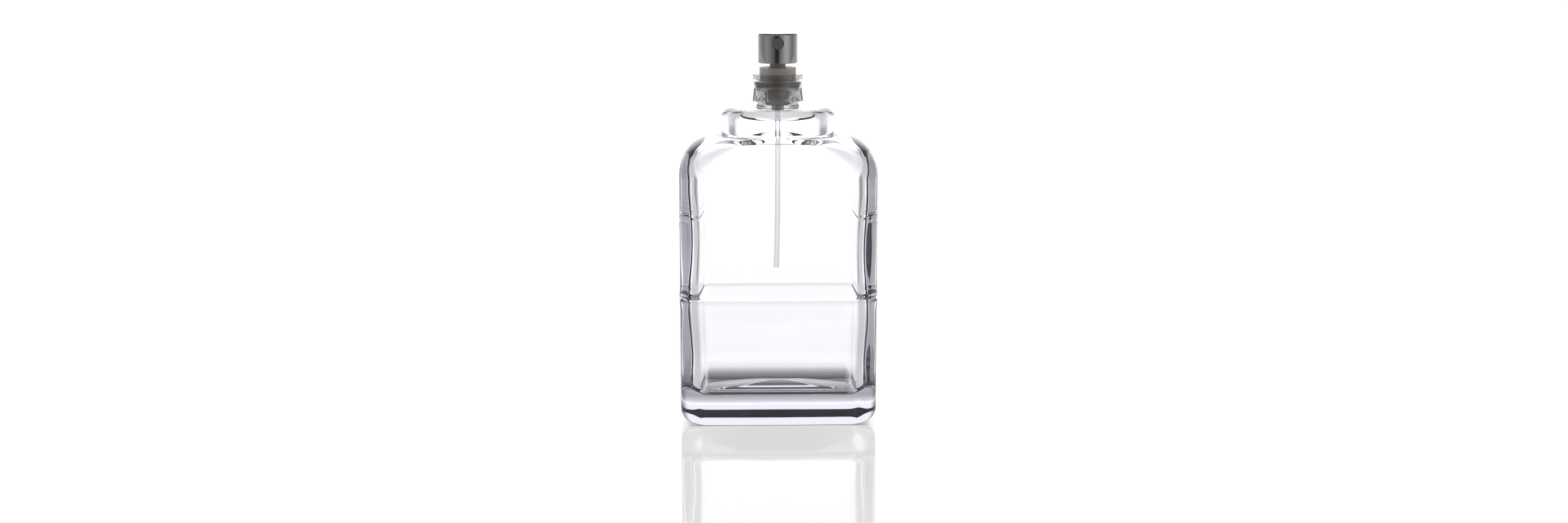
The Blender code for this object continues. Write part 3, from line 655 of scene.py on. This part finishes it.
# ---- the pump --------------------------------------------------------------------------------

def collar_mesh():
    """Collar with a rim round the turret, a web, and eight slotted fingers with catches."""
    radius, bottom, top = box_mm("snap_collar")
    flange_r = box_mm("pump_turret")[0]
    turret_hole = 6.12
    body_r, flare_z, web_z, recess_z = 8.3, 109.2, 112.3, 112.95
    inner = flange_r + 0.12
    profile = rounded([(7.25, top), (body_r, top), (body_r, flare_z + 0.9),
                       (body_r + 0.02, flare_z), (radius, bottom), (radius - 0.85, bottom),
                       (inner, flare_z - 1.2), (inner, web_z), (turret_hole, web_z),
                       (turret_hole, recess_z), (7.25, recess_z)], 0.16)
    mesh = turned("collar", profile)
    catch_r, catch_w, catch_h, catch_top, fingers = 6.6, 1.8, 1.1, 107.2, 8
    slot_w, slot_top = 0.7, 110.2
    slot_end_z = slot_top - slot_w / 2

    def catch():
        shape = bmesh.new()
        reach = inner + 0.35 - catch_r
        bmesh.ops.create_cube(shape, size=1.0, matrix=Matrix.Translation(
            ((catch_r + reach / 2) * MM, 0, (catch_top - catch_h / 2) * MM))
            @ Matrix.Diagonal((reach * MM, catch_w * MM, catch_h * MM, 1)))
        bmesh.ops.bevel(shape, geom=list(shape.edges), offset=0.12 * MM, segments=2,
                        affect="EDGES", profile=0.5)
        return shape

    def slot():
        shape = bmesh.new()
        height = slot_end_z - bottom + 1.0
        bmesh.ops.create_cube(shape, size=1.0, matrix=Matrix.Translation(
            (body_r * MM, 0, (bottom - 1.0 + height / 2) * MM))
            @ Matrix.Diagonal((3.0 * MM, slot_w * MM, height * MM, 1)))
        return shape

    def slot_end():
        return rod_shape(slot_w / 2, (body_r - 1.5, 0, slot_end_z), (body_r + 1.5, 0, slot_end_z),
                         20)

    return carved("collar", mesh, ("UNION", ring_of(fingers, 0.0, catch)),
                  ("DIFFERENCE", ring_of(fingers, 0.5, slot)),
                  ("DIFFERENCE", ring_of(fingers, 0.5, slot_end)))


def turret_mesh():
    """Cap of the pump: a flange, a stepped drum, and a chimney that guides stem and spring."""
    flange_r, low, chimney_top = box_mm("pump_turret")
    flange_top = 112.25
    drum_r, drum_top, floor = 6.0, 116.7, 113.0
    waist_r, waist_top = drum_r - 0.06, 114.1  # the drum's lower part is a little slimmer
    chimney_r, chimney_bore, stem_hole = 2.65, 2.35, 1.5
    wall = 0.8
    return turned("turret", rounded([
        (chimney_bore, chimney_top), (chimney_r, chimney_top), (chimney_r, drum_top + 0.3),
        (chimney_r + 0.3, drum_top - 0.12), (drum_r - 0.9, drum_top - 0.12),
        (drum_r - 0.8, drum_top), (drum_r, drum_top), (drum_r, waist_top + 0.1),
        (waist_r, waist_top), (waist_r, flange_top), (flange_r, flange_top), (flange_r, low),
        (drum_r - wall, low), (drum_r - wall, drum_top - wall),
        (chimney_r + wall, drum_top - wall), (chimney_r + wall, low), (stem_hole, low),
        (stem_hole, floor), (chimney_bore, floor)], 0.14))


def housing_mesh():
    """Cup for the piston, with the inlet ball's seat and the dip tube's socket below it."""
    flange_r, low, top = box_mm("pump_housing")
    ledge, cylinder_r, outer_r, socket_r = 3.9, 3.2, 4.1, 2.2
    cup_z, floor_z, under_z = 111.0, 104.7, 104.1
    seat_r, seat_z, ball_room_r, lip_r = 0.6, 102.25, 1.35, 0.95
    tube_r, tube_stop_z = 0.97, 101.6
    return turned("housing", rounded([
        (ledge, top), (flange_r, top), (flange_r, cup_z), (outer_r, cup_z),
        (outer_r, under_z + 0.4), (outer_r - 0.4, under_z), (socket_r, under_z),
        (socket_r, low + 0.3), (socket_r - 0.3, low), (tube_r, low), (tube_r, tube_stop_z),
        (seat_r, tube_stop_z), (seat_r, seat_z), (ball_room_r, seat_z + ball_room_r - seat_r),
        (ball_room_r, floor_z - 0.5), (lip_r, floor_z - 0.4), (lip_r + 0.25, floor_z),
        (cylinder_r, floor_z), (cylinder_r, cup_z), (ledge, cup_z)], 0.12))


def gasket_mesh(name, node, inner_r):
    """A flat seal with soft edges."""
    radius, low, top = box_mm(node)
    return turned(name, rounded([(inner_r, top), (radius, top), (radius, low), (inner_r, low)],
                                0.15))


def piston_mesh():
    """Piston with two flared lips."""
    radius, low, top = box_mm("piston")
    bore = 1.42
    return turned("piston_seal", rounded([
        (bore, top - 0.3), (bore + 0.6, top - 0.3), (radius - 0.25, top), (radius, top - 0.1),
        (radius - 0.1, (low + top) / 2), (radius, low + 0.1), (radius - 0.25, low),
        (bore + 0.6, low + 0.3), (bore, low)], 0.05))


def stem_mesh():
    """Hollow stem that carries the piston between a foot and a shoulder, with cross ports."""
    low, top = box_mm("pump_stem")[1:]
    piston_low, piston_top = box_mm("piston")[1:]
    foot = piston_low - 0.05
    floor = foot + 0.85
    bore, radius = 0.6, 1.35
    shoulder_r, shoulder_low, shoulder_top, foot_r = 2.3, piston_top + 0.32, 111.0, 1.9
    mesh = turned("stem", rounded([
        (0.0, floor), (bore, floor), (bore, top), (radius, top), (radius, shoulder_top),
        (shoulder_r, shoulder_top), (shoulder_r, shoulder_low), (radius, shoulder_low),
        (radius, foot), (foot_r, foot), (foot_r, low), (0.0, low)], 0.08, closed=False),
        closed=False, steps=96)
    port = rod_shape(0.3, (-3, 0, floor + 0.3), (3, 0, floor + 0.3), 24)
    return carved("stem", mesh, ("DIFFERENCE", port))


def spring_mesh():
    """Coil with closed end turns, on the turret's floor and under the actuator's grip."""
    low, top = box_mm("return_spring")[1:]
    wire, radius, turns, per_turn = 0.2, 2.05, 8, 40
    end_turns = 0.07  # draws the coils at both ends together
    count = turns * per_turn
    start, end = low + wire, top - wire
    path = []
    for i in range(count + 1):
        share = i / count
        eased = share - end_turns * math.sin(2 * math.pi * share)
        angle = 2 * math.pi * turns * share
        path.append((radius * math.cos(angle), radius * math.sin(angle),
                     start + (end - start) * eased))
    return tube_mesh("spring", path, wire, sides=12)


def dip_tube_mesh():
    """Thin open tube that leans a little towards -X at its lower end."""
    low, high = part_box("dip_tube")
    start, end = high.z / MM, low.z / MM
    lean, steps = 0.5, 60
    path = [(-lean * (i / steps) ** 3, 0, start + (end - start) * i / steps)
            for i in range(steps + 1)]
    return tube_mesh("tube", path, 0.92, 0.32, 32)


def ball_mesh():
    low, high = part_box("inlet_ball")
    shape = bmesh.new()
    bmesh.ops.create_icosphere(shape, subdivisions=4, radius=(high.z - low.z) / 2,
                               matrix=Matrix.Translation((low + high) / 2))
    return finish_mesh("ball", shape)


# ---- the actuator ----------------------------------------------------------------------------

def nozzle_height():
    low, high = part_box("nozzle_insert")
    return (low.z + high.z) / 2 / MM


def shell_mesh():
    """Drawn metal cover with a rolled top edge and a round hole for the nozzle."""
    radius, low, top = box_mm("actuator_shell")
    wall, edge = 0.38, 0.6
    inner, inner_top = radius - wall, top - 0.45
    outside = arc(radius - edge, top - edge, edge, 90, 0, 10)
    profile = ([(0.0, top), (radius - edge - 1.2, top)] + outside
               + [(radius, low + 0.22), (radius - 0.06, low + 0.07), (radius - 0.19, low),
                  (inner, low + 0.1), (inner, inner_top - 0.3), (inner - 0.3, inner_top),
                  (0.0, inner_top)])
    hole = rod_shape(1.92, (0, -radius - 1, nozzle_height()), (0, -radius + 1.4, nozzle_height()),
                     72)
    return carved("shell", turned("shell", profile, closed=False, steps=180),
                  ("DIFFERENCE", hole))


def core_mesh():
    """Moulded inside of the actuator: stem grip, skirt and the nozzle's seat."""
    radius, low, top = box_mm("actuator_core")
    skirt, column, grip, bore = radius - 0.65, 2.9, 2.2, 1.4
    plate, column_low = 126.7, 123.1
    stem_top = box_mm("pump_stem")[2] + 0.05
    mesh = turned("core", rounded([
        (0.0, top), (radius - 0.4, top), (radius, top - 0.4), (radius, low), (skirt, low),
        (skirt, plate), (column, plate), (column, column_low), (grip, column_low), (grip, low),
        (bore, low), (bore, stem_top), (0.0, stem_top)], 0.1, closed=False), closed=False)
    z = nozzle_height()
    boss = rod_shape(2.3, (0, -radius + 0.35, z), (0, -2.5, z))
    recess = rod_shape(1.85, (0, -radius - 1, z), (0, -4.2, z))
    post = rod_shape(1.25, (0, -5.85, z), (0, -4.0, z))
    return carved("core", mesh, ("UNION", boss), ("DIFFERENCE", recess), ("UNION", post))


def insert_mesh():
    """Nozzle cup: a dished face with a fine orifice in the middle."""
    low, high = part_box("nozzle_insert")
    radius, front, back = high.x / MM, -low.y / MM, -high.y / MM
    disc = front - 0.6
    profile = rounded([(0.25, front - 0.16), (0.5, front - 0.06), (radius - 0.35, front),
                       (radius, front), (radius, back), (1.33, back), (1.33, disc),
                       (0.25, disc)], 0.09)
    shape = turned_shape(profile, steps=96)
    shape.transform(Matrix.Translation((0, 0, nozzle_height() * MM))
                    @ Matrix.Rotation(math.pi / 2, 4, "X"))
    return finish_mesh("insert", shape)


# ---- studio ----------------------------------------------------------------------------------

def math_node(tree, operation, *values):
    """A math node's result; each value is a number or another node's output."""
    made = tree.nodes.new("ShaderNodeMath")
    made.operation = operation
    for socket, value in zip(made.inputs, values):
        if isinstance(value, (int, float)):
            socket.default_value = value
        else:
            tree.links.new(value, socket)
    return made.outputs[0]


def add_floor():
    """Glossy light table with a painted contact shadow: its glow is dimmed under the bottle's base
    and fades back in behind it.
    """
    finish = Finish("table_gloss", IOR=1.5, Emission_Color=(1, 1, 1, 1))
    finish.colors(finish.noise(3, 2.0), (0.05, 0.05, 0.05), (0.06, 0.06, 0.06))
    finish.rough(finish.spread(finish.noise(40, 2.0), 0.05, 0.07))
    tree = finish.tree
    parts = tree.nodes.new("ShaderNodeSeparateXYZ")
    tree.links.new(finish.place, parts.inputs["Vector"])
    x, y = parts.outputs["X"], parts.outputs["Y"]
    # painted shadow: the table's glow drops to a small share in a patch under and behind the base,
    # standing in for a cast contact shadow
    width = math_node(tree, "MULTIPLY_ADD", y, -PAINTED_SHADOW_SPREAD, math_node(tree, "ABSOLUTE", x))
    share = finish.spread(width, 0.0, 1.0, *PAINTED_SHADOW_X)
    for start, end in PAINTED_SHADOW_Y:
        past = finish.spread(y, 0.0, 1.0, start, end)
        share = math_node(tree, "MAXIMUM", share, past)
    glow = finish.spread(share, TABLE_GLOW * PAINTED_SHADOW_SHARE, TABLE_GLOW, 0.0, 1.0)
    tree.links.new(glow, finish.shader.inputs["Emission Strength"])
    shape = bmesh.new()
    bmesh.ops.create_circle(shape, cap_ends=True, segments=96, radius=TABLE_R,
                            matrix=Matrix.Translation((0, TABLE_BACK, -0.00005)))
    floor = bpy.data.objects.new("table", finish_mesh("table", shape))
    floor.data.materials.append(finish.material)
    bpy.context.scene.collection.objects.link(floor)


def add_world():
    """Soft studio surroundings; levels are by the direction's angle from the front."""
    world = bpy.data.worlds.new("studio")
    bpy.context.scene.world = world
    world.use_nodes = True
    tree = world.node_tree
    background = tree.nodes["Background"]

    def node(kind, **settings):
        made = tree.nodes.new(kind)
        for name, value in settings.items():
            setattr(made, name, value)
        return made

    def grey(level):
        return level, level, level, 1

    def ramp_by(share, stops):
        """A level from the stops; share is 0 and 1 behind the bottle and a half in front."""
        made = node("ShaderNodeValToRGB")
        tree.links.new(share, made.inputs["Fac"])
        elements = made.color_ramp.elements
        elements[0].position, elements[-1].position = 0.0, 1.0
        elements[0].color, elements[-1].color = grey(stops[0][1]), grey(stops[-1][1])
        for angle, level in stops[1:-1]:
            elements.new(angle / 360 + 0.5).color = grey(level)
        return made.outputs["Color"]

    def blend(share, a, b):
        made = node("ShaderNodeMix", data_type="RGBA")
        tree.links.new(share, made.inputs["Factor"])
        for socket, value in (("A", a), ("B", b)):
            if isinstance(value, tuple):
                made.inputs[socket].default_value = value
            else:
                tree.links.new(value, made.inputs[socket])
        return made.outputs["Result"]

    def between(value, start, end):
        """0 up to the start, a soft rise, and 1 from the end."""
        made = node("ShaderNodeMapRange", interpolation_type="SMOOTHSTEP")
        made.inputs["From Min"].default_value = start
        made.inputs["From Max"].default_value = end
        tree.links.new(value, made.inputs["Value"])
        return made.outputs["Result"]

    place = node("ShaderNodeTexCoord")
    parts = node("ShaderNodeSeparateXYZ")
    tree.links.new(place.outputs["Generated"], parts.inputs["Vector"])
    x, y, z = (parts.outputs[axis] for axis in "XYZ")
    turn = math_node(tree, "ARCTAN2", x, math_node(tree, "MULTIPLY", y, -1.0))
    share = math_node(tree, "ADD", math_node(tree, "DIVIDE", turn, 2 * math.pi), 0.5)
    level = blend(between(z, *LOW_BAND), ramp_by(share, LOW_LEVELS), ramp_by(share, HIGH_LEVELS))
    level = blend(between(z, *TOP_BAND), level, grey(TOP_LEVEL))
    seen = node("ShaderNodeLightPath").outputs["Is Camera Ray"]
    white = grey(BACKDROP / WORLD_STRENGTH)
    tree.links.new(blend(seen, level, white), background.inputs["Color"])
    background.inputs["Strength"].default_value = WORLD_STRENGTH


def add_camera():
    camera = bpy.data.objects.new("camera", bpy.data.cameras.new("camera"))
    camera.data.sensor_width = 36
    camera.data.lens = LENS
    orbit = math.radians(CAMERA_ORBIT)
    camera.location = (-CAMERA_DISTANCE * math.sin(orbit), -CAMERA_DISTANCE * math.cos(orbit),
                       CAMERA_HEIGHT)
    camera.rotation_euler = (math.radians(90 - CAMERA_DOWN), 0,
                             -math.radians(CAMERA_ORBIT + CAMERA_PAN))
    bpy.context.scene.collection.objects.link(camera)
    bpy.context.scene.camera = camera
    bpy.context.scene.view_settings.view_transform = "Standard"


def set_light_paths():
    """Light crosses the thick glass many times before it leaves."""
    cycles = bpy.context.scene.cycles
    cycles.max_bounces = cycles.transmission_bounces = cycles.glossy_bounces = LIGHT_BOUNCES


def add_pieces():
    glass, clear, tube = glass_finish(), collar_finish(), tube_finish()
    natural, white, rubber = natural_finish(), white_finish(), rubber_finish()
    steel, chrome, dark = steel_finish(), chrome_finish(), nozzle_finish()
    add_piece("bottle_glass", glass_mesh(), glass, "bottle", "clear_glass", "glass_bottle")
    add_piece("collar", collar_mesh(), clear, "bottle", "clear_plastic", "snap_collar")
    add_piece("turret", turret_mesh(), natural, "bottle", "natural_plastic", "pump_turret")
    add_piece("housing", housing_mesh(), natural, "bottle", "natural_plastic", "pump_housing")
    add_piece("tube", dip_tube_mesh(), tube, "bottle", "tube_plastic", "dip_tube")
    add_piece("neck_seal", gasket_mesh("neck_seal", "neck_gasket", 4.4), rubber, "bottle",
              "seal_rubber", "neck_gasket")
    add_piece("stem_seal", gasket_mesh("stem_seal", "inner_gasket", 1.42), rubber, "bottle",
              "seal_rubber", "inner_gasket")
    spring = add_piece("spring", spring_mesh(), steel, "bottle", "spring_steel", "return_spring")
    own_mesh(spring)
    add_piece("ball", ball_mesh(), steel, "ball", "spring_steel", "inlet_ball")
    add_piece("piston_seal", piston_mesh(), white, "piston", "white_plastic", "piston")
    add_piece("stem", stem_mesh(), white, "stem", "white_plastic", "pump_stem")
    add_piece("core", core_mesh(), white, "actuator", "white_plastic", "actuator_core")
    add_piece("shell", shell_mesh(), chrome, "actuator", "bright_metal", "actuator_shell")
    add_piece("insert", insert_mesh(), dark, "actuator", "nozzle_plastic", "nozzle_insert")


add_camera()
set_light_paths()
add_world()
add_floor()
add_pieces()
